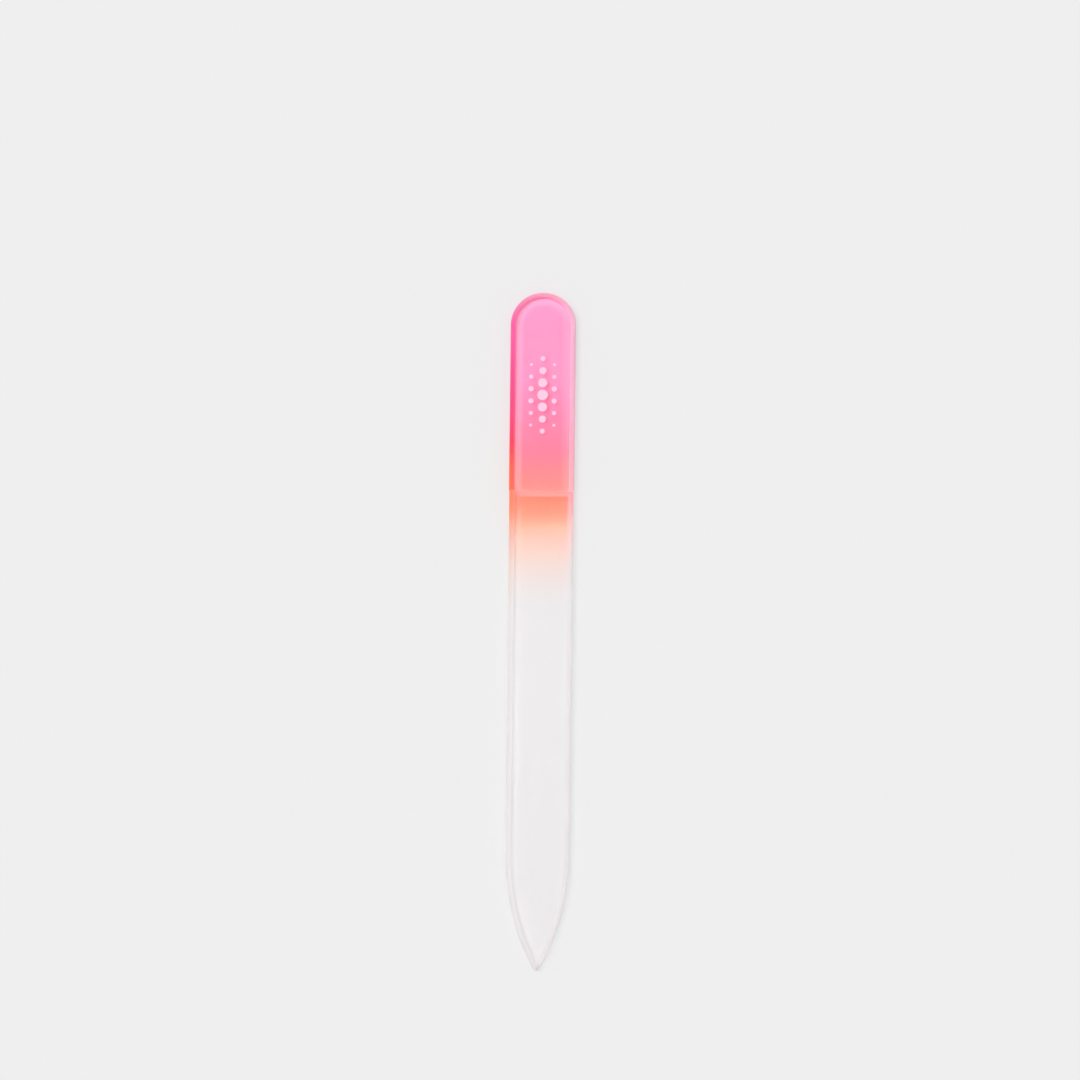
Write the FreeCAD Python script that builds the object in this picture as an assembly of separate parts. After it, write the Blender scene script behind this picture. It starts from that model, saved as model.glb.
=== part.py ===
"""Glass nail file with a pointed cuticle end, in millimetres.

The file is one bar of toughened glass. A short polished handle has a round end. The long blade
is etched a little lower on every side, so that its faces and edges are abrasive, and it closes in
two curved flanks to a blunt point. All round, the edge is ground to a pencil shape: a shallow arc
from one flat face to the other. Colour is fired on from behind: a pink coat on the back and edges
of the polished handle, and an orange one that carries on over the top of the blade.

X runs across the file, +Y towards the round end, +Z out of the front face.
The origin is under the middle of the file, on the surface that it lies on.
"""

import math
import os
from collections import namedtuple

import FreeCAD
import Part

# The bar
LENGTH = 135.0  # round end to point
WIDTH = 13.0  # across the polished handle
THICKNESS = 3.0  # of the polished glass, face to face
EDGE_BULGE = 1.1  # how far the ground edge stands out past the flat faces

# The polished handle
HANDLE_LENGTH = 39.6  # round end to the foot of the shoulder
SHOULDER_RUN = 0.3  # along the file, from the blade's face up to the handle's

# The etched blade
ETCH_DEPTH = 0.08  # taken off every side of the blade
TIP_LENGTH = 23.0  # where the sides start to close in, to the point
POINT_RADIUS = 0.65  # of the blunt point, seen from the front

# The fired coats
COAT_THICKNESS = 0.06
ORANGE_LENGTH = 24.4  # down the blade from the shoulder

# Places that follow. The bar with its coat on is centred on the origin and lies on z = 0.
UP = FreeCAD.Vector(0, 0, 1)
POINT_Y = -(LENGTH + COAT_THICKNESS) / 2
ROUND_END_Y = POINT_Y + LENGTH
SHOULDER_FOOT_Y = ROUND_END_Y - HANDLE_LENGTH
SHOULDER_TOP_Y = SHOULDER_FOOT_Y + SHOULDER_RUN
HANDLE_FACE_HALF = WIDTH / 2 - EDGE_BULGE
BLADE_FACE_HALF = HANDLE_FACE_HALF - ETCH_DEPTH
HANDLE_HALF_HEIGHT = THICKNESS / 2
BLADE_HALF_HEIGHT = HANDLE_HALF_HEIGHT - ETCH_DEPTH
FLANK_Y = POINT_Y + TIP_LENGTH
MIDDLE_Z = COAT_THICKNESS + THICKNESS / 2

# Two kinds of stretch make a flat face's outline, which runs anticlockwise seen from the front.
Straight = namedtuple("Straight", "start end")
Bend = namedtuple("Bend", "centre radius first last")  # angles in degrees


def at(x, y, z=0.0):
    return FreeCAD.Vector(x, y, z)


def handle_outline(bottom_y):
    """Up one side of the handle's flat face, round its end and down the other side."""
    half = HANDLE_FACE_HALF
    bend_y = ROUND_END_Y - WIDTH / 2
    return [
        Straight(at(half, bottom_y), at(half, bend_y)),
        Bend(at(0, bend_y), half, 0, 180),
        Straight(at(-half, bend_y), at(-half, bottom_y)),
    ]


def blade_sides(bottom_y):
    """The two straight sides of the blade's flat face, from the shoulder down to bottom_y."""
    half = BLADE_FACE_HALF
    return [
        Straight(at(-half, SHOULDER_FOOT_Y), at(-half, bottom_y)),
        Straight(at(half, bottom_y), at(half, SHOULDER_FOOT_Y)),
    ]


def outline_edge(stretch):
    if isinstance(stretch, Straight):
        return Part.LineSegment(stretch.start, stretch.end).toShape()
    return Part.makeCircle(
        stretch.radius, stretch.centre, UP, stretch.first, stretch.last
    )


def plate(outline, low, high):
    """A flat plate inside an outline, from low to high. Straight lines close what is open."""
    edges = [outline_edge(stretch) for stretch in outline]
    joined = []
    for edge, following in zip(edges, edges[1:] + edges[:1], strict=True):
        end, start = edge.lastVertex().Point, following.firstVertex().Point
        joined.append(edge)
        if end.distanceToPoint(start) > 1e-6:
            joined.append(Part.LineSegment(end, start).toShape())
    face = Part.Face(Part.Wire(joined))
    face.translate(at(0, 0, low))
    return face.extrude(at(0, 0, high - low))


def run_along(section, stretch):
    """Carries a section, drawn outwards along X, along one stretch of an outline."""
    placed = section.copy()
    if isinstance(stretch, Straight):
        way = stretch.end - stretch.start
        outwards = math.degrees(math.atan2(-way.x, way.y))
        placed.rotate(at(0, 0), UP, outwards)
        placed.translate(stretch.start)
        return placed.extrude(way)
    placed.translate(at(stretch.radius, 0))
    placed.rotate(at(0, 0), UP, stretch.first)
    placed.translate(stretch.centre)
    return placed.revolve(stretch.centre, UP, stretch.last - stretch.first)


def edge_circle(half_height):
    """Radius and centre distance of the ground edge's arc, seen in section."""
    radius = (half_height**2 + EDGE_BULGE**2) / (2 * EDGE_BULGE)
    return radius, EDGE_BULGE - radius


def edge_section(half_height):
    """The ground edge outside the flat faces: a shallow arc from the front to the back."""
    front, back = at(0, 0, half_height), at(0, 0, -half_height)
    arc = Part.Arc(front, at(EDGE_BULGE, 0), back).toShape()
    return Part.Face(Part.Wire([Part.LineSegment(back, front).toShape(), arc]))


def coat_section(half_height):
    """The coat over the ground edge, from the front face's rim round to under the back face."""
    radius, centre = edge_circle(half_height)
    outer = radius + COAT_THICKNESS
    under = -half_height - COAT_THICKNESS
    front = at(0, 0, half_height)
    front_lip = at(centre + math.sqrt(outer**2 - half_height**2), 0, half_height)
    widest = at(EDGE_BULGE + COAT_THICKNESS, 0)
    back_lip = at(centre + math.sqrt(outer**2 - under**2), 0, under)
    below = at(0, 0, under)
    back = at(0, 0, -half_height)
    return Part.Face(
        Part.Wire(
            [
                Part.LineSegment(front, front_lip).toShape(),
                Part.Arc(front_lip, widest, back_lip).toShape(),
                Part.LineSegment(back_lip, below).toShape(),
                Part.LineSegment(below, back).toShape(),
                Part.Arc(back, at(EDGE_BULGE, 0), front).toShape(),
            ]
        )
    )


def joined_up(solids):
    """One solid from several that share faces, with the seams between them taken out."""
    first, *others = solids
    return first.multiFuse(others).removeSplitter()


def ground_bar(outline, half_height):
    """A bar with flat faces inside the outline and a ground edge all along it."""
    core = plate(outline, -half_height, half_height)
    section = edge_section(half_height)
    return joined_up([core] + [run_along(section, stretch) for stretch in outline])


def coat(outline, half_height):
    """A thin coat under the back face and up round the ground edge."""
    under = plate(outline, -half_height - COAT_THICKNESS, -half_height)
    section = coat_section(half_height)
    return joined_up([under] + [run_along(section, stretch) for stretch in outline])


def flat_face(points):
    return Part.Face(Part.makePolygon([*points, points[0]]))


def turned_section(reach, half_height):
    """The bar in section, from an axis at x = 0 out to its edge's widest point at x = reach."""
    low, high = at(0, 0, -half_height), at(0, 0, half_height)
    inner, outer = at(-EDGE_BULGE, 0), at(reach - EDGE_BULGE, 0)
    core = flat_face([low + inner, low + outer, high + outer, high + inner])
    bulge = edge_section(half_height)
    bulge.translate(outer)
    beside_axis = flat_face([low, low + at(reach, 0), high + at(reach, 0), high])
    return core.fuse(bulge).common(beside_axis).removeSplitter()


def turned(section, centre, first, last):
    """Turns a section about an upright axis, between two angles in degrees."""
    placed = section.copy()
    placed.rotate(at(0, 0), UP, first)
    placed.translate(centre)
    return placed.revolve(centre, UP, last - first)


def prism(corners):
    """An upright block as thick as two bars, from its corners seen from the front."""
    face = flat_face([at(x, y, -THICKNESS) for x, y in corners])
    return face.extrude(at(0, 0, 2 * THICKNESS))


def blade_point():
    """The pieces of the point: two flanks that meet in a mitre, and the blunt nose below them."""
    half, inset = BLADE_FACE_HALF, EDGE_BULGE - POINT_RADIUS
    nose_y = POINT_Y + POINT_RADIUS
    fall = FLANK_Y - nose_y
    flank = (fall**2 + half**2 - inset**2) / (2 * (half + inset))
    turn = math.degrees(math.atan2(fall, flank - half))
    disc = turned_section(flank + EDGE_BULGE, BLADE_HALF_HEIGHT)
    left = turned(disc, at(flank - half, FLANK_Y), 180, 180 + 2 * turn)
    lowest = nose_y - WIDTH * math.tan(math.radians(turn))
    quarter = prism([(0, FLANK_Y), (-WIDTH, FLANK_Y), (-WIDTH, lowest), (0, nose_y)])
    left = left.common(quarter)
    right = left.mirror(at(0, 0), at(1, 0))
    nose = turned(turned_section(POINT_RADIUS, BLADE_HALF_HEIGHT), at(0, nose_y), 180 + turn, 360 - turn)
    return [left, right, nose]


def shoulder_limit(under=0.0):
    """What the handle keeps to: above the shoulder, whose two slopes start at the blade's faces.

    Its back can be taken further down, to leave room for a coat under it.
    """
    corners = [
        (SHOULDER_FOOT_Y, -BLADE_HALF_HEIGHT - under),
        (SHOULDER_FOOT_Y, BLADE_HALF_HEIGHT),
        (SHOULDER_TOP_Y, HANDLE_HALF_HEIGHT),
        (LENGTH, HANDLE_HALF_HEIGHT),
        (LENGTH, -HANDLE_HALF_HEIGHT - under),
        (SHOULDER_TOP_Y, -HANDLE_HALF_HEIGHT - under),
    ]
    face = flat_face([at(-WIDTH, y, z) for y, z in corners])
    return face.extrude(at(2 * WIDTH, 0))


def handle_bar():
    return ground_bar(handle_outline(SHOULDER_FOOT_Y), HANDLE_HALF_HEIGHT)


def glass_blank():
    handle = handle_bar().common(shoulder_limit())
    blade = ground_bar(blade_sides(FLANK_Y), BLADE_HALF_HEIGHT)
    return joined_up([handle, blade, *blade_point()])


def pink_coat():
    """The coat on the handle, which also covers the shoulder's slope on the back."""
    bar = handle_bar()
    coated = joined_up([bar, coat(handle_outline(SHOULDER_FOOT_Y), HANDLE_HALF_HEIGHT)])
    return coated.common(shoulder_limit(COAT_THICKNESS)).cut(bar.common(shoulder_limit()))


def orange_coat():
    return coat(blade_sides(SHOULDER_FOOT_Y - ORANGE_LENGTH), BLADE_HALF_HEIGHT)


def main():
    os.makedirs("parts", exist_ok=True)
    nodes = {
        "glass_blank": glass_blank(),
        "pink_coat": pink_coat(),
        "orange_coat": orange_coat(),
    }
    for name, shape in nodes.items():
        shape.translate(at(0, 0, MIDDLE_Z))
        solids, faces = len(shape.Solids), len(shape.Faces)
        print(f"{name}: solids {solids}, faces {faces}, valid {shape.isValid()}, {shape.Volume:.2f} mm3")
        shape.exportStep(f"parts/{name}.step")


main()
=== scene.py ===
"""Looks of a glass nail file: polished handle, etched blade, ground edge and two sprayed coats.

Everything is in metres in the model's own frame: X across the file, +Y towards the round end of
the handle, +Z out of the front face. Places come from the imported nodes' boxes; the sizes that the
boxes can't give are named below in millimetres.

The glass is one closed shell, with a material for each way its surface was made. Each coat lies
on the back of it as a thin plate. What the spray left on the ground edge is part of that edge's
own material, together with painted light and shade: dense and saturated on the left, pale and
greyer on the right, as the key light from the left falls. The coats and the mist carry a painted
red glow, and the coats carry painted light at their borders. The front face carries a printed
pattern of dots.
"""

import math
from collections import namedtuple

import bmesh
import bpy
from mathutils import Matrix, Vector


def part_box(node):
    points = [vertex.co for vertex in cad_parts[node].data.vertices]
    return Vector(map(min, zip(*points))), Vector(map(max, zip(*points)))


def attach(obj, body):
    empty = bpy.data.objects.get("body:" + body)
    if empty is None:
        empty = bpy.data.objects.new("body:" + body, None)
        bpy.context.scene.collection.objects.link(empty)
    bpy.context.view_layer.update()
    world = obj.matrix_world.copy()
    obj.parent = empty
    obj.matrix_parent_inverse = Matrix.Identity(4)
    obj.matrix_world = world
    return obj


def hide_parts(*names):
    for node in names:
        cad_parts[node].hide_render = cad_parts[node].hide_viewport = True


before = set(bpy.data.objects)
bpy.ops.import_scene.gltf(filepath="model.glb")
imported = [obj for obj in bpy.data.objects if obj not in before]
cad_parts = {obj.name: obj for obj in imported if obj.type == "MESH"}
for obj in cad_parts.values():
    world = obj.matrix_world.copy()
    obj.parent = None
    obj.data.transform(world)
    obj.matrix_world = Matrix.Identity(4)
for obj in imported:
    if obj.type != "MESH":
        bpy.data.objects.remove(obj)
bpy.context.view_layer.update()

MM = 0.001

# The ground edge, the point and the shoulder, which the boxes don't give
EDGE_BULGE = 1.1 * MM  # how far the ground edge stands out past the flat faces
ARRIS = 0.1 * MM  # radius of the eased corner between a flat face and the ground edge
TIP_LENGTH = 23.0 * MM  # where the sides start to close in, to the point
POINT_RADIUS = 0.65 * MM  # of the blunt point, seen from the front
SHOULDER_RUN = 0.3 * MM  # along the file, from the blade's face up to the handle's

# How finely the curves are cut
ARRIS_STEPS = 4
EDGE_STEPS = 22
ROUND_END_STEPS = 80
FLANK_STEPS = 36
NOSE_STEPS = 16
DOT_SIDES = 40

# In metres: nearer than this, two places are one, or a vertex lies in a flat face. The second is
# less, because the eased corner falls away from the face by under a micron at its first step.
CLOSE = 1e-6
LEVEL = 1e-7

# A coat lies on the glass with a film of air between, as an enamel full of pinholes does
COAT_FILM = 0.01 * MM
COAT_SPREAD = 0.15 * MM  # past the flat face, under the eased corner

# Places and sizes from the frame
glass_low, glass_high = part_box("glass_blank")
pink_low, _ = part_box("pink_coat")
orange_low, orange_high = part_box("orange_coat")

COAT = glass_low.z - pink_low.z
ROUND_END_Y = glass_high.y
POINT_Y = glass_low.y
SHOULDER_FOOT_Y = orange_high.y
SHOULDER_TOP_Y = SHOULDER_FOOT_Y + SHOULDER_RUN
ORANGE_END_Y = orange_low.y
MIDDLE_Z = (glass_low.z + glass_high.z) / 2
HANDLE_HALF = glass_high.x
HANDLE_HALF_HEIGHT = (glass_high.z - glass_low.z) / 2
HANDLE_FACE_HALF = HANDLE_HALF - EDGE_BULGE
BLADE_HALF = orange_high.x - COAT
BLADE_HALF_HEIGHT = orange_high.z - MIDDLE_Z
BLADE_FACE_HALF = BLADE_HALF - EDGE_BULGE
BEND_Y = ROUND_END_Y - HANDLE_HALF
FLANK_Y = POINT_Y + TIP_LENGTH

# The printed pattern: across the file and the radii down each column of dots, all in mm
DOT_COLUMNS = [
    (0.0, [0.5, 0.7, 0.9, 1.05, 0.9, 0.7, 0.5]),
    (-2.3, [0.3, 0.42, 0.52, 0.52, 0.42, 0.3]),
    (2.3, [0.3, 0.42, 0.52, 0.52, 0.42, 0.3]),
]
DOT_PITCH = 2.4 * MM  # down each column
DOTS_MIDDLE = 20.4 * MM  # from the round end to the middle of the pattern
INK = 0.02 * MM  # thickness of the print
INK_BITE = INK / 4  # how deep it sits in the glass, so that the two faces don't fight


# ---------------------------------------------------------------- small helpers


def linear(hex_colour):
    """sRGB hex to the linear colour that a socket takes."""
    channels = [int(hex_colour[i : i + 2], 16) / 255 for i in (1, 3, 5)]
    turned = [c / 12.92 if c <= 0.04045 else ((c + 0.055) / 1.055) ** 2.4 for c in channels]
    return (*turned, 1.0)


def add_node(material, kind, inputs=None, **settings):
    """Adds a node with its settings. An input takes a value, an output or a node's first output.

    An input is named, or numbered among those that the node has in use.
    """
    node = material.node_tree.nodes.new(kind)
    for name, value in settings.items():
        setattr(node, name, value)
    in_use = [socket for socket in node.inputs if socket.enabled]
    for key, value in (inputs or {}).items():
        socket = in_use[key] if isinstance(key, int) else node.inputs[key]
        if isinstance(value, bpy.types.Node):
            value = next(output for output in value.outputs if output.enabled)
        if isinstance(value, bpy.types.NodeSocket):
            material.node_tree.links.new(value, socket)
        else:
            socket.default_value = value
    return node


def new_material(name):
    """A material whose node tree is still empty."""
    material = bpy.data.materials.new(name)
    material.use_nodes = True
    material.node_tree.nodes.clear()
    return material


def new_object(name, bm, materials):
    """Puts a bmesh into the scene as an object, and frees it."""
    mesh = bpy.data.meshes.new(name)
    bm.to_mesh(mesh)
    bm.free()
    for material in materials:
        mesh.materials.append(material)
    made = bpy.data.objects.new(name, mesh)
    bpy.context.scene.collection.objects.link(made)
    return made


def finish_piece(name, bm, materials, node=None):
    """Makes a piece that rides on the file, and that may stand for a node of the model."""
    piece = new_object(name, bm, materials)
    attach(piece, "root")
    if node:
        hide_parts(node)
    return piece


def verts_of(geometry):
    return [g for g in geometry if isinstance(g, bmesh.types.BMVert)]


def edges_of(geometry):
    return [g for g in geometry if isinstance(g, bmesh.types.BMEdge)]


# ---------------------------------------------------------------- shapes


def edge_section(bm, half_width, half_height, y):
    """The ground edge in section: an eased corner, a shallow arc and an eased corner."""
    radius = (half_height**2 + EDGE_BULGE**2) / (2 * EDGE_BULGE)
    arc_x = half_width - radius
    corner_z = half_height - ARRIS
    corner_x = arc_x + math.sqrt((radius - ARRIS) ** 2 - corner_z**2)
    lean = math.atan2(corner_z, corner_x - arc_x)
    turns = (
        ((corner_x, y, MIDDLE_Z + corner_z), math.pi / 2 - lean, ARRIS_STEPS),
        ((arc_x, y, MIDDLE_Z), 2 * lean, EDGE_STEPS),
        ((corner_x, y, MIDDLE_Z - corner_z), math.pi / 2 - lean, ARRIS_STEPS),
    )
    last = [bm.verts.new((corner_x, y, MIDDLE_Z + half_height))]
    for centre, angle, steps in turns:
        made = bmesh.ops.spin(bm, geom=last, cent=centre, axis=(0, 1, 0), angle=angle, steps=steps)
        last = verts_of(made["geom_last"])
    return bm.verts[:] + bm.edges[:]


def run_straight(bm, section, vector):
    """Draws a section out along a vector, and gives back its far end."""
    made = bmesh.ops.extrude_edge_only(bm, edges=edges_of(section))["geom"]
    bmesh.ops.translate(bm, vec=vector, verts=verts_of(made))
    return verts_of(made) + edges_of(made)


def run_round(bm, section, centre, angle, steps):
    """Turns a section about an upright axis, and gives back its far end."""
    made = bmesh.ops.spin(bm, geom=section, cent=centre, axis=(0, 0, 1), angle=angle, steps=steps)
    return made["geom_last"]


def close_flats(bm, half_height):
    """Fills the front and the back of an open bar, whose ground edge is already there."""
    for z in (MIDDLE_Z + half_height, MIDDLE_Z - half_height):
        rim = [
            e for e in bm.edges if e.is_boundary and all(abs(v.co.z - z) < LEVEL for v in e.verts)
        ]
        ends = [v for v in bm.verts if sum(e in rim for e in v.link_edges) == 1]
        across = bmesh.ops.contextual_create(bm, geom=ends)["edges"]
        bmesh.ops.edgeloop_fill(bm, edges=rim + across)


def handle_shell():
    """The handle, open where the shoulder starts."""
    bm = bmesh.new()
    section = edge_section(bm, HANDLE_HALF, HANDLE_HALF_HEIGHT, SHOULDER_TOP_Y)
    straight = Vector((0, BEND_Y - SHOULDER_TOP_Y, 0))
    section = run_straight(bm, section, straight)
    section = run_round(bm, section, (0, BEND_Y, 0), math.pi, ROUND_END_STEPS)
    run_straight(bm, section, -straight)
    close_flats(bm, HANDLE_HALF_HEIGHT)
    return bm


def blade_shell():
    """One side of the blade down to the middle of its point, and its mirror image."""
    bm = bmesh.new()
    half, inset = BLADE_FACE_HALF, EDGE_BULGE - POINT_RADIUS
    nose = Vector((0, POINT_Y + POINT_RADIUS, 0))
    fall = FLANK_Y - nose.y
    # radius of the flat face's flank, which leaves the straight side without a kink and passes
    # the nose's middle at the inset, and how far it turns on the way
    flank = (fall**2 + half**2 - inset**2) / (2 * (half + inset))
    turn = math.atan2(fall, flank - half)
    section = edge_section(bm, BLADE_HALF, BLADE_HALF_HEIGHT, SHOULDER_FOOT_Y)
    section = run_straight(bm, section, Vector((0, FLANK_Y - SHOULDER_FOOT_Y, 0)))
    run_round(bm, section, (half - flank, FLANK_Y, 0), -turn, FLANK_STEPS)
    # the mitre, where the two flanks meet
    everything = bm.verts[:] + bm.edges[:] + bm.faces[:]
    bmesh.ops.bisect_plane(
        bm, geom=everything, plane_co=(0, 0, 0), plane_no=(1, 0, 0), dist=CLOSE, clear_inner=True
    )
    for edge in bm.edges:
        edge.smooth = any(abs(v.co.x) > CLOSE for v in edge.verts)
    # the blunt nose below it
    along = Vector((math.sin(turn), math.cos(turn), 0))
    verts = [v for v in bm.verts if abs((v.co - nose).dot(along)) < CLOSE]
    edges = [e for e in bm.edges if e.verts[0] in verts and e.verts[1] in verts]
    run_round(bm, verts + edges, nose, turn - math.pi / 2, NOSE_STEPS)
    bmesh.ops.mirror(bm, geom=bm.verts[:] + bm.edges[:] + bm.faces[:], axis="X", merge_dist=CLOSE)
    bmesh.ops.remove_doubles(bm, verts=bm.verts, dist=CLOSE)
    close_flats(bm, BLADE_HALF_HEIGHT)
    return bm


# The glass bar's materials by number, and how its faces are told apart
POLISHED_FACE, HANDLE_EDGE, ETCHED_FACE, BLADE_EDGE = range(4)
FLAT_Z = 0.9999  # the least that a flat face's normal points up or down
SLOPE_X = 0.2  # the most that the normal of the shoulder's slope points sideways


def glass_bar(polished, handle_edge, etched, blade_edge):
    """Handle and blade, joined by the shoulder: the short slope down to the etched faces."""
    bm = handle_shell()
    blade = blade_shell()
    mesh = bpy.data.meshes.new("blade")
    blade.to_mesh(mesh)
    blade.free()
    bm.from_mesh(mesh)
    bpy.data.meshes.remove(mesh)
    bmesh.ops.bridge_loops(bm, edges=[e for e in bm.edges if e.is_boundary])
    bmesh.ops.recalc_face_normals(bm, faces=bm.faces)
    for face in bm.faces:
        y = face.calc_center_median().y
        flat = abs(face.normal.z) > FLAT_Z and len(face.verts) > 4
        shoulder = SHOULDER_FOOT_Y < y < SHOULDER_TOP_Y
        slope = shoulder and abs(face.normal.x) < SLOPE_X
        face.smooth = not flat and not shoulder
        if y > SHOULDER_TOP_Y:
            face.material_index = POLISHED_FACE if flat else HANDLE_EDGE
        else:
            face.material_index = ETCHED_FACE if flat or slope else BLADE_EDGE
    materials = [polished, handle_edge, etched, blade_edge]
    return finish_piece("glass_bar", bm, materials, "glass_blank")


def coat_plate(half_width, low, y_low, y_high, round_end, slope=None):
    """A coat on a flat back face: a thin plate with a square end and a round or square one.

    It can run on from its square end down a slope, given as a vector.
    """
    bm = bmesh.new()
    start = bm.verts.new((half_width, y_low, low))
    last = verts_of(bmesh.ops.extrude_vert_indiv(bm, verts=[start])["verts"])
    bend_y = y_high - half_width if round_end else y_high
    bmesh.ops.translate(bm, vec=(0, bend_y - y_low, 0), verts=last)
    if round_end:
        last = verts_of(run_round(bm, last, (0, bend_y, 0), math.pi, ROUND_END_STEPS))
    else:
        last = bmesh.ops.extrude_vert_indiv(bm, verts=last)["verts"]
        bmesh.ops.translate(bm, vec=(-2 * half_width, 0, 0), verts=last)
    foot = bmesh.ops.extrude_vert_indiv(bm, verts=last)["verts"]
    bmesh.ops.translate(bm, vec=(0, y_low - bend_y, 0), verts=foot)
    bmesh.ops.contextual_create(bm, geom=[start, *foot])
    bmesh.ops.edgeloop_fill(bm, edges=bm.edges)
    if slope:
        square_end = [e for e in bm.edges if all(v in (start, *foot) for v in e.verts)]
        run_straight(bm, square_end, slope)
    made = bmesh.ops.extrude_face_region(bm, geom=bm.faces[:])["geom"]
    bmesh.ops.translate(bm, vec=(0, 0, COAT - COAT_FILM), verts=verts_of(made))
    bmesh.ops.recalc_face_normals(bm, faces=bm.faces)
    return bm


def pink_coat(material):
    """The coat on the back of the handle, and down the slope of the shoulder."""
    slope = Vector((0, SHOULDER_FOOT_Y - SHOULDER_TOP_Y, orange_low.z - pink_low.z))
    half_width = HANDLE_FACE_HALF + COAT_SPREAD
    bm = coat_plate(half_width, pink_low.z, SHOULDER_TOP_Y, BEND_Y + half_width, True, slope)
    return finish_piece("pink_enamel_coat", bm, [material], "pink_coat")


def orange_coat(material):
    """The coat on the back of the blade's top."""
    half_width = BLADE_FACE_HALF + COAT_SPREAD
    bm = coat_plate(half_width, orange_low.z, ORANGE_END_Y, SHOULDER_FOOT_Y, False)
    return finish_piece("orange_enamel_coat", bm, [material], "orange_coat")


def printed_dots(material):
    """A pattern of dots printed on the front face, large in the middle and small round it."""
    bm = bmesh.new()
    middle = ROUND_END_Y - DOTS_MIDDLE
    for x, radii in DOT_COLUMNS:
        y = middle + DOT_PITCH * (len(radii) - 1) / 2
        for radius in radii:
            dot = bmesh.ops.create_circle(bm, cap_ends=True, radius=radius * MM, segments=DOT_SIDES)
            place = (x * MM, y, glass_high.z - INK_BITE)
            bmesh.ops.translate(bm, vec=place, verts=dot["verts"])
            y -= DOT_PITCH
    made = bmesh.ops.extrude_face_region(bm, geom=bm.faces[:])["geom"]
    bmesh.ops.translate(bm, vec=(0, 0, INK), verts=verts_of(made))
    bmesh.ops.recalc_face_normals(bm, faces=bm.faces)
    return finish_piece("printed_dots", bm, [material])


# ---------------------------------------------------------------- tools for the materials


def axes_of(material):
    """X, Y and Z in the model's own frame."""
    place = add_node(material, "ShaderNodeTexCoord").outputs["Object"]
    axes = add_node(material, "ShaderNodeSeparateXYZ", {"Vector": place})
    return axes.outputs["X"], axes.outputs["Y"], axes.outputs["Z"]


NOISE_LOW, NOISE_HIGH = 0.3, 0.7  # between them lie nearly all of a noise's values


def grain(material, size, low, high, detail=2.0, drawn_out=1.0):
    """Runs from low to high in grains of about this size, drawn out along the file if asked."""
    place = add_node(material, "ShaderNodeTexCoord").outputs["Object"]
    squeeze = {0: place, 1: (1.0, 1.0 / drawn_out, 1.0)}
    along = add_node(material, "ShaderNodeVectorMath", squeeze, operation="MULTIPLY")
    pattern = {"Vector": along, "Scale": 1 / size, "Detail": detail}
    noise = add_node(material, "ShaderNodeTexNoise", pattern)
    spread = {"Value": noise, "From Min": NOISE_LOW, "From Max": NOISE_HIGH}
    spread |= {"To Min": low, "To Max": high}
    return add_node(material, "ShaderNodeMapRange", spread)


def colour_along(material, y, stops):
    """Colour along the file, from stops of (mm above the shoulder's foot, hex), rising."""
    low, high = stops[0][0], stops[-1][0]
    way = {"Value": y, "From Min": SHOULDER_FOOT_Y + low * MM}
    way["From Max"] = SHOULDER_FOOT_Y + high * MM
    share = add_node(material, "ShaderNodeMapRange", way)
    ramp = add_node(material, "ShaderNodeValToRGB", {"Fac": share})
    elements = ramp.color_ramp.elements
    while len(elements) < len(stops):
        elements.new(0.5)
    # places first and colours after, because the ramp sorts its elements as they move
    for element, (mm, _) in zip(elements, stops, strict=True):
        element.position = (mm - low) / (high - low)
    for element, (_, colour) in zip(elements, stops, strict=True):
        element.color = linear(colour)
    return ramp


def finish_material(material, inputs):
    """Ends a material in its shader, which takes these inputs."""
    shader = add_node(material, "ShaderNodeBsdfPrincipled", inputs)
    add_node(material, "ShaderNodeOutputMaterial", {"Surface": shader})
    return material


# ---------------------------------------------------------------- glass and its ground edge

GLASS_IOR = 1.52  # soda-lime float glass
POLISHED = "#FBFBFB"
ETCHED = "#F5F3F4"
SATIN = (0.32, 0.38)  # roughness of etched and of ground glass, from place to place

# The marks that each way of working the glass leaves: how wide they are drawn, and how deep
WAVE, WAVE_DEPTH = 12.0 * MM, 0.003 * MM
GRIT, GRIT_DEPTH = 0.3 * MM, 0.003 * MM
WHEEL_MARK, WHEEL_MARK_DEPTH = 0.25 * MM, 0.002 * MM
WHEEL_MARK_LENGTH = 8.0  # times its width


def polished_glass():
    """Float glass, toughened and fire-polished: clear, with a sharp and faint reflection.

    Toughening leaves a slow wave in the face, which only shows where something is mirrored.
    """
    material = new_material("fire_polished_float_glass")
    wave = {"Height": grain(material, WAVE, 0.0, 1.0, detail=0.0), "Distance": WAVE_DEPTH}
    return finish_material(
        material,
        {
            "Base Color": linear(POLISHED),
            "Roughness": 0.0,
            "IOR": GLASS_IOR,
            "Transmission Weight": 1.0,
            "Normal": add_node(material, "ShaderNodeBump", wave),
        },
    )


def etched_glass():
    """Float glass etched in acid: a satin grit that scatters light and hides what lies behind.

    The grit is about 0.05 mm, which is too fine to show, so it is drawn at 0.3 mm.
    """
    material = new_material("acid_etched_float_glass")
    grit = {"Height": grain(material, GRIT, 0.0, 1.0), "Distance": GRIT_DEPTH}
    return finish_material(
        material,
        {
            "Base Color": linear(ETCHED),
            "Roughness": grain(material, GRIT, *SATIN),
            "IOR": GLASS_IOR,
            "Transmission Weight": 1.0,
            "Normal": add_node(material, "ShaderNodeBump", grit),
        },
    )


# Painted glow: a constant red emission, standing in for the pigment's fluorescence, which keeps
# the shaded parts of the coats and the mist red under any light
PAINTED_RED_GLOW = "#FF1030"
COAT_GLOW = 0.18
MIST_GLOW = 0.05
GLOW_START_Y = ORANGE_END_Y + 4.0 * MM  # the mist glows from here on towards the round end,
GLOW_FULL_Y = ORANGE_END_Y + 16.0 * MM  # and from here on fully
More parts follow.
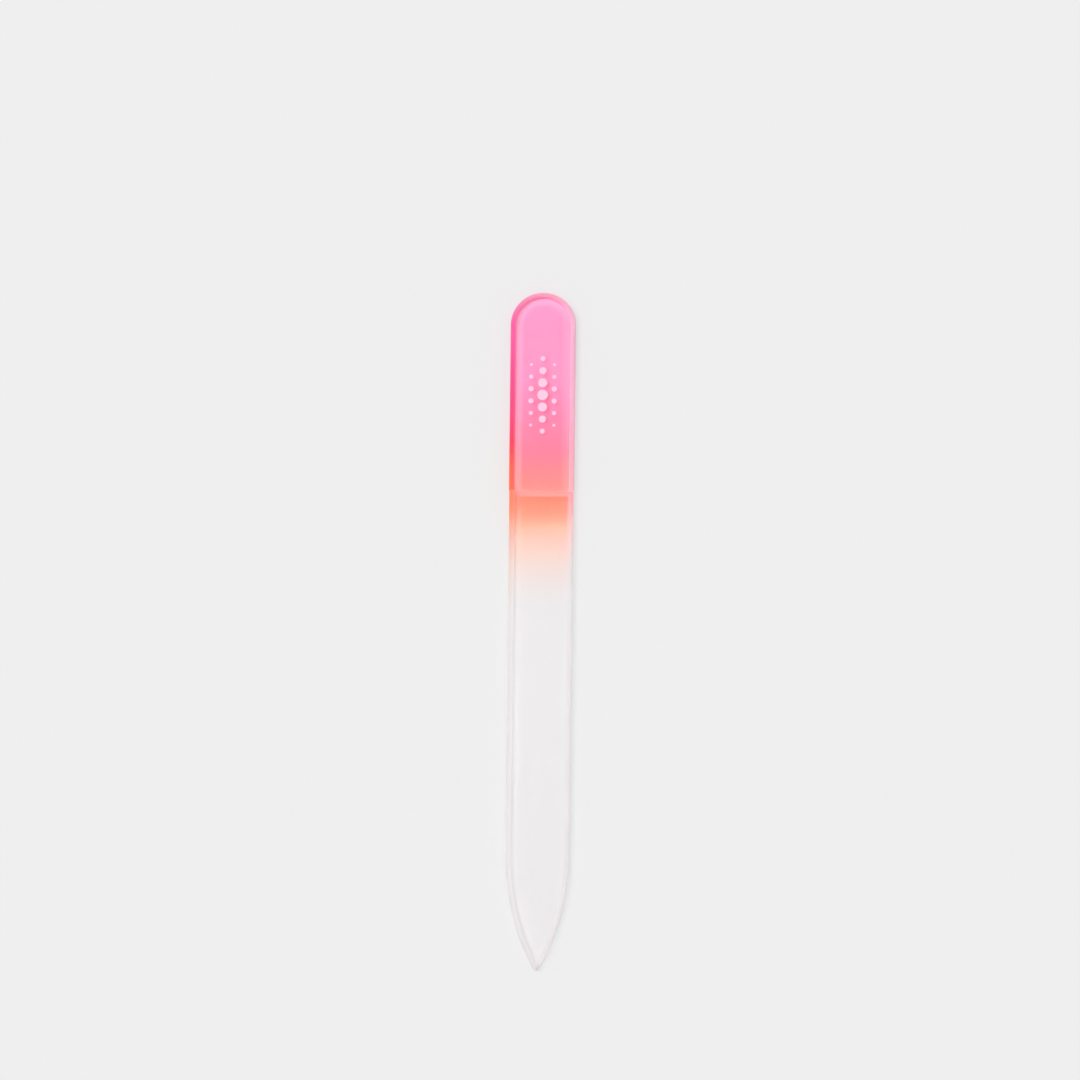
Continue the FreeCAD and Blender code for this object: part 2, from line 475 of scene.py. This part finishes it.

# What the spray left on the ground edge, with painted light and shade in it: the left side is dense
# and saturated and the right one pale and greyer, standing in for the key light from the left. The
# fields of a mist are:
#   left, right: its colours on either side, as stops of (mm above the shoulder's foot, hex)
#   on_left, on_right: the share of each side that it covers
#   past_coat: what is left of that share past the orange coat's end
#   beside_faces: what is left of it beside the flat faces, where the handle's polished edge lets
#     it run thin and the blade's grit holds it
Mist = namedtuple("Mist", "left right on_left on_right past_coat beside_faces")
HANDLE_MIST_WITH_PAINTED_SIDE_LIGHT = Mist(
    left=[
        (0.0, "#FA6A2C"), (4.5, "#FF5E38"), (8.0, "#FF333D"), (10.0, "#FA114E"),
        (14.0, "#F92574"), (20.0, "#F52E8A"), (33.0, "#FC50A8"), (39.5, "#FF86BC"),
    ],
    right=[
        (0.0, "#F0D0D8"), (8.0, "#EDCDE0"), (20.0, "#EBCADC"), (33.0, "#E6D0E0"),
        (39.5, "#FFCCE0"),
    ],
    on_left=0.8, on_right=0.6, past_coat=1.0, beside_faces=0.15,
)
BLADE_MIST_WITH_PAINTED_SIDE_LIGHT = Mist(
    left=[
        (-23.0, "#FFFBFC"), (-14.0, "#FFEEE4"), (-10.0, "#FFDCD2"), (-6.0, "#FFC6A8"),
        (-4.0, "#FFA880"), (0.0, "#FF9468"),
    ],
    right=[
        (-50.0, "#F2EDF0"), (-26.0, "#F4F1F4"), (-14.0, "#EEF5FA"), (-6.0, "#FAEFFD"),
        (0.0, "#F9D8E9"),
    ],
    on_left=0.6, on_right=0.4, past_coat=0.5, beside_faces=1.0,
)
MIST_FADES = 0.3 * MM  # from a flat face, over which it runs thin
MIST_SPECKLE = (0.92, 1.08)  # how much it covers where its drops lie thin and thick


def mist_cover(material, axes, half_width, half_height, mist):
    """The share of the glass that a mist covers: speckled, and thinning out along each axis."""
    x, y, z = axes
    off_middle = add_node(material, "ShaderNodeMath", {0: z, 1: MIDDLE_Z}, operation="SUBTRACT")
    off_middle = add_node(material, "ShaderNodeMath", {0: off_middle}, operation="ABSOLUTE")
    cover = grain(material, WHEEL_MARK, *MIST_SPECKLE)
    # along an axis, from one place and share to another
    for axis, curve, start, end, share, last_share in (
        # painted side light: the cover runs from the left side's dense share to the right side's
        # thin one
        (x, "LINEAR", -half_width, half_width, mist.on_left, mist.on_right),
        (off_middle, "SMOOTHSTEP", half_height - MIST_FADES, half_height, 1.0, mist.beside_faces),
        (y, "LINEAR", ORANGE_END_Y, SHOULDER_FOOT_Y, mist.past_coat, 1.0),
    ):
        run = {"Value": axis, "From Min": start, "From Max": end}
        run |= {"To Min": share, "To Max": last_share}
        thinned = add_node(material, "ShaderNodeMapRange", run, interpolation_type=curve)
        cover = add_node(material, "ShaderNodeMath", {0: cover, 1: thinned}, operation="MULTIPLY")
    return cover


def misted_ground_glass(name, half_width, half_height, mist):
    """Glass ground on a wheel, under a mist of enamel: satin, and see-through where it is thin.

    The wheel left marks of about 0.03 mm along the edge, too fine to show, so they are drawn at
    0.25 mm. The mist's colours and cover carry painted light and shade, dense and saturated on the
    left and pale and greyer on the right, as the key light from the left falls.
    """
    material = new_material(name)
    x, y, z = axes_of(material)
    # painted side light: the colour runs from the left side's to the right side's across the file
    side = {"Value": x, "From Min": -half_width, "From Max": half_width}
    shades = {
        0: add_node(material, "ShaderNodeMapRange", side),
        1: colour_along(material, y, mist.left),
        2: colour_along(material, y, mist.right),
    }
    cover = mist_cover(material, (x, y, z), half_width, half_height, mist)
    # painted glow: where it covers it glows red, except that the glow dies away before the mist
    # does
    glow = {"Value": y, "From Min": GLOW_START_Y, "From Max": GLOW_FULL_Y, "To Max": cover}
    glow = add_node(material, "ShaderNodeMapRange", glow, interpolation_type="SMOOTHSTEP")
    red = {0: glow, 1: linear("#000000"), 2: linear(PAINTED_RED_GLOW)}
    marks = {
        "Height": grain(material, WHEEL_MARK, 0.0, 1.0, drawn_out=WHEEL_MARK_LENGTH),
        "Distance": WHEEL_MARK_DEPTH,
    }
    return finish_material(
        material,
        {
            "Base Color": add_node(material, "ShaderNodeMix", shades, data_type="RGBA"),
            "Roughness": grain(material, WHEEL_MARK, *SATIN),
            "IOR": GLASS_IOR,
            "Transmission Weight": add_node(
                material, "ShaderNodeMath", {0: 1.0, 1: cover}, operation="SUBTRACT"
            ),
            "Emission Color": add_node(material, "ShaderNodeMix", red, data_type="RGBA"),
            "Emission Strength": MIST_GLOW,
            "Normal": add_node(material, "ShaderNodeBump", marks),
        },
    )


# ---------------------------------------------------------------- enamel and ink

ORANGE_FULL = 4.2 * MM  # below the shoulder's foot, where the orange has its full cover

# A coat on the back. The fields of its spray are:
#   full: its colours, as stops of (mm above the shoulder's foot, hex)
#   thin: the paler colours near its border, partly a thinner film and partly painted light and
#     shade from the ground edge, stronger on the left
#   dust: the shares of its left and its right border under a pale painted light, which
#     lifts the shade that the ground edge casts there
#   roughness: of the baked film
#   runs_out: where the glass is bare and where the cover is full, if it runs out along the file
Spray = namedtuple("Spray", "full thin dust roughness runs_out")
PINK_SPRAY = Spray(
    full=[
        # the first two stops, pale at the foot, are a painted highlight along the shoulder
        (0.0, "#FF948C"), (0.6, "#FF8278"), (4.0, "#FF767D"), (8.0, "#FC6A8F"),
        (15.0, "#FF77AC"), (22.0, "#FD8CC3"), (31.0, "#FF88BE"), (38.2, "#FF8EC6"),
    ],
    thin=[
        (0.0, "#FFA8A0"), (5.0, "#FFA4A8"), (8.0, "#FFA0B4"), (16.0, "#FFA8CC"),
        (39.0, "#FFB2DC"),
    ],
    dust=(0.6, 0.1),
    roughness=0.4,
    runs_out=None,
)
ORANGE_SPRAY = Spray(
    full=[
        (-24.4, "#FF8058"), (-17.0, "#FFC6A6"), (-14.5, "#FCDEB6"), (-12.1, "#FFDBB9"),
        (-9.7, "#FFD9BA"), (-7.3, "#FFD1A0"), (-5.0, "#FFA26C"), (-4.2, "#FF8B57"),
        # from -0.88 mm the pale salmon is a painted highlight below the shoulder's foot
        (-0.9, "#FF6D14"), (-0.88, "#FF9C8A"), (0.0, "#FF9C8C"),
    ],
    thin=[
        (-24.4, "#FFC0A0"), (-14.5, "#FFE2C0"), (-9.7, "#FFE2C6"), (-7.3, "#FFDCB8"),
        # from -0.88 mm here too, a painted highlight below the shoulder's foot
        (-4.2, "#FFA480"), (-0.9, "#FF8044"), (-0.88, "#FFA294"), (0.0, "#FFA294"),
    ],
    dust=(0.0, 0.1),
    roughness=0.5,
    runs_out=(ORANGE_END_Y, SHOULDER_FOOT_Y - ORANGE_FULL),
)
RUN_OUT_CURVE = 2.5  # power of the way from bare to full, which keeps the end clear for longer
MOTTLE, MOTTLE_SHARE, MOTTLE_COLOUR = 1.5 * MM, 0.08, "#FF5A78"
# a pale lilac, painted over the shade at a coat's border
BORDER_PAINTED_LIGHT = "#FFE1FF"

# How far in from the border the film starts to thin or the painted light to lie, and from where
# it is full
THIN_BAND = (1.9 * MM, 0.5 * MM)
# the paler border is stronger on the left, as painted light
THIN_SHARES = (1.0, 0.4)  # of the thin film on the left and on the right
BORDER_PAINTED_LIGHT_BAND = (0.8 * MM, 0.0)


def near_border(material, x, reach, half_width, band, shares):
    """A share of a coat's border: none further in than the band, and one left and one right."""
    starts, full = band
    left, right = shares
    side = {"Value": x, "From Min": -half_width, "From Max": half_width}
    side |= {"To Min": left, "To Max": right}
    share = add_node(material, "ShaderNodeMapRange", side)
    rise = {"Value": reach, "From Min": half_width - starts, "From Max": half_width - full}
    rise["To Max"] = share
    return add_node(material, "ShaderNodeMapRange", rise, interpolation_type="SMOOTHSTEP")


def sprayed_enamel(name, half_width, spray):
    """Neon enamel, sprayed and baked: an even satin film that glows a little by itself.

    Spray lands in a faint mottle about 1.5 mm across. Towards its border the film is paler, partly
    as a thinner film and partly as painted light and shade, and at the border a pale painted light
    lifts the shade there. It may also run out to bare glass along the file.
    """
    material = new_material(name)
    x, y, _ = axes_of(material)
    # reach: how far out from the middle line, or from the middle of the round end past the bend
    past_bend = add_node(material, "ShaderNodeMath", {0: y, 1: BEND_Y}, operation="SUBTRACT")
    past_bend = add_node(material, "ShaderNodeMath", {0: past_bend, 1: 0.0}, operation="MAXIMUM")
    from_middle = add_node(material, "ShaderNodeCombineXYZ", {"X": x, "Y": past_bend})
    reach = add_node(material, "ShaderNodeVectorMath", {0: from_middle}, operation="LENGTH")
    mottle = grain(material, MOTTLE, 0.0, MOTTLE_SHARE)
    # near the border: a paler film that is partly painted light, and painted light over the shade
    thinned = near_border(material, x, reach, half_width, THIN_BAND, THIN_SHARES)
    lit_border = near_border(material, x, reach, half_width, BORDER_PAINTED_LIGHT_BAND, spray.dust)
    colour = colour_along(material, y, spray.full)
    for share, towards in (
        (mottle, linear(MOTTLE_COLOUR)),
        (thinned, colour_along(material, y, spray.thin)),
        (lit_border, linear(BORDER_PAINTED_LIGHT)),
    ):
        shades = {0: share, 1: colour, 2: towards}
        colour = add_node(material, "ShaderNodeMix", shades, data_type="RGBA")
    cover = 1.0
    if spray.runs_out:
        bare_y, full_y = spray.runs_out
        along = {"Value": y, "From Min": bare_y, "From Max": full_y}
        along = add_node(material, "ShaderNodeMapRange", along)
        curve = {0: along, 1: RUN_OUT_CURVE}
        cover = add_node(material, "ShaderNodeMath", curve, operation="POWER")
    return finish_material(
        material,
        {
            "Base Color": colour,
            "Roughness": spray.roughness,
            "Alpha": cover,
            "Emission Color": linear(PAINTED_RED_GLOW),
            "Emission Strength": COAT_GLOW,
        },
    )


WEAVE, THREAD_DEPTH = 0.2 * MM, 0.002 * MM
INK_BETWEEN_THREADS, INK_ON_THREADS = "#FFC2E0", "#FFCEE8"


def screen_print_ink():
    """Pale ink, screen printed: flat and satin, with the weave of the screen just to be seen.

    A screen has about 0.08 mm between threads, which is drawn as a grain of 0.2 mm.
    """
    material = new_material("screen_printed_ink")
    weave = grain(material, WEAVE, 0.0, 1.0)
    shades = {0: weave, 1: linear(INK_BETWEEN_THREADS), 2: linear(INK_ON_THREADS)}
    threads = {"Height": weave, "Distance": THREAD_DEPTH}
    return finish_material(
        material,
        {
            "Base Color": add_node(material, "ShaderNodeMix", shades, data_type="RGBA"),
            "Roughness": 0.4,
            "Normal": add_node(material, "ShaderNodeBump", threads),
        },
    )


# ---------------------------------------------------------------- the file

glass_bar(
    polished_glass(),
    misted_ground_glass("misted_ground_glass_handle", HANDLE_HALF, HANDLE_HALF_HEIGHT, HANDLE_MIST_WITH_PAINTED_SIDE_LIGHT),
    etched_glass(),
    misted_ground_glass("misted_ground_glass_blade", BLADE_HALF, BLADE_HALF_HEIGHT, BLADE_MIST_WITH_PAINTED_SIDE_LIGHT),
)
pink_coat(sprayed_enamel("sprayed_pink_enamel", HANDLE_FACE_HALF, PINK_SPRAY))
orange_coat(sprayed_enamel("sprayed_orange_enamel", BLADE_FACE_HALF, ORANGE_SPRAY))
printed_dots(screen_print_ink())


# ---------------------------------------------------------------- table, light and camera

TABLE = "#EFEFEF"
TABLE_REACH = 2.0  # from its middle to each side
TABLE_GAP = 0.01 * MM  # under the coats, so that the two faces don't fight
PLAIN_SHARE = 0.6  # how much of the table is seen as its plain colour, and not as it is lit

KEY_LEAN = math.radians(20)  # of the key light from straight above
KEY_SIDE = math.radians(23)  # from the file's left towards its round end
KEY_SHARE = 0.35  # of full light on the table that comes from the key
KEY_WIDTH = math.radians(31)  # seen from the file, as broad as a softbox
ROOM_LIGHT = 0.65  # the rest, from all round
SEEN_ROOM = 0.86  # the same grey as the table, where the room itself is seen

VIEW_WIDTH = 214.3 * MM  # at the height of the front face
VIEW_CENTRE = Vector((-0.18 * MM, 18.26 * MM, glass_high.z))
VIEW_TURN = math.radians(0.67)
LENS, SENSOR = 85.0, 36.0  # focal length and sensor width, mm
NEAREST_SEEN = 10 * MM


def seen_plainly(owner):
    """1 where a surface is seen by the camera, in a reflection or through glass, else 0."""
    path = add_node(owner, "ShaderNodeLightPath").outputs
    seen = path["Is Camera Ray"]
    for ray in (path["Is Glossy Ray"], path["Is Transmission Ray"]):
        seen = add_node(owner, "ShaderNodeMath", {0: seen, 1: ray}, operation="MAXIMUM")
    return seen


def table():
    """A plain pale table top, wide enough to meet the room at the horizon."""
    bm = bmesh.new()
    bmesh.ops.create_grid(bm, x_segments=1, y_segments=1, size=TABLE_REACH)
    bmesh.ops.translate(bm, vec=(0, 0, -TABLE_GAP), verts=bm.verts)
    material = new_material("table_top")
    share = {"Value": seen_plainly(material), "To Max": PLAIN_SHARE}
    surface = {"Base Color": linear(TABLE), "Roughness": 0.8, "Specular IOR Level": 0.0}
    mix = {
        0: add_node(material, "ShaderNodeMapRange", share),
        1: add_node(material, "ShaderNodeBsdfPrincipled", surface),
        2: add_node(material, "ShaderNodeEmission", {"Color": linear(TABLE)}),
    }
    seen = add_node(material, "ShaderNodeMixShader", mix)
    add_node(material, "ShaderNodeOutputMaterial", {"Surface": seen})
    new_object("table", bm, [material])


def room_light():
    """Even light from all round. Where it is seen itself, it is the same grey as the table."""
    world = bpy.data.worlds.new("room")
    world.use_nodes = True
    world.node_tree.nodes.clear()
    bpy.context.scene.world = world
    seen = {"Value": seen_plainly(world), "To Min": ROOM_LIGHT, "To Max": SEEN_ROOM}
    strength = add_node(world, "ShaderNodeMapRange", seen)
    background = add_node(
        world, "ShaderNodeBackground", {"Color": linear("#FFFFFF"), "Strength": strength}
    )
    add_node(world, "ShaderNodeOutputWorld", {"Surface": background})


def key_light():
    """A broad lamp high up on the left, which lays a soft shadow on the right."""
    key = bpy.data.lights.new("key", "SUN")
    key.angle = KEY_WIDTH
    # a sun of this strength gives a level table its share of full light
    key.energy = KEY_SHARE * math.pi / math.cos(KEY_LEAN)
    lamp = bpy.data.objects.new("key", key)
    bpy.context.scene.collection.objects.link(lamp)
    aside = Vector((-math.cos(KEY_SIDE), math.sin(KEY_SIDE), 0)) * math.sin(KEY_LEAN)
    way = aside + Vector((0, 0, math.cos(KEY_LEAN)))
    lamp.rotation_mode = "QUATERNION"
    lamp.rotation_quaternion = way.to_track_quat("Z", "Y")


def camera():
    """Looks straight down on the front face."""
    data = bpy.data.cameras.new("camera")
    data.lens = LENS
    data.sensor_width = SENSOR
    data.clip_start = NEAREST_SEEN
    view = bpy.data.objects.new("camera", data)
    bpy.context.scene.collection.objects.link(view)
    view.location = VIEW_CENTRE + Vector((0, 0, VIEW_WIDTH * LENS / SENSOR))
    view.rotation_euler = (0, 0, VIEW_TURN)
    bpy.context.scene.camera = view


table()
room_light()
key_light()
camera()

bpy.context.scene.view_settings.view_transform = "Standard"
# Light that has bounced off the coats stays sharp on its way out through the glass. The default
# blurs it, which darkens what lies under glass by about a fifth.
bpy.context.scene.cycles.blur_glossy = 0.0
# Inside a bar of glass, light is turned back many times before it gets out.
bpy.context.scene.cycles.max_bounces = 24
bpy.context.scene.cycles.glossy_bounces = 16
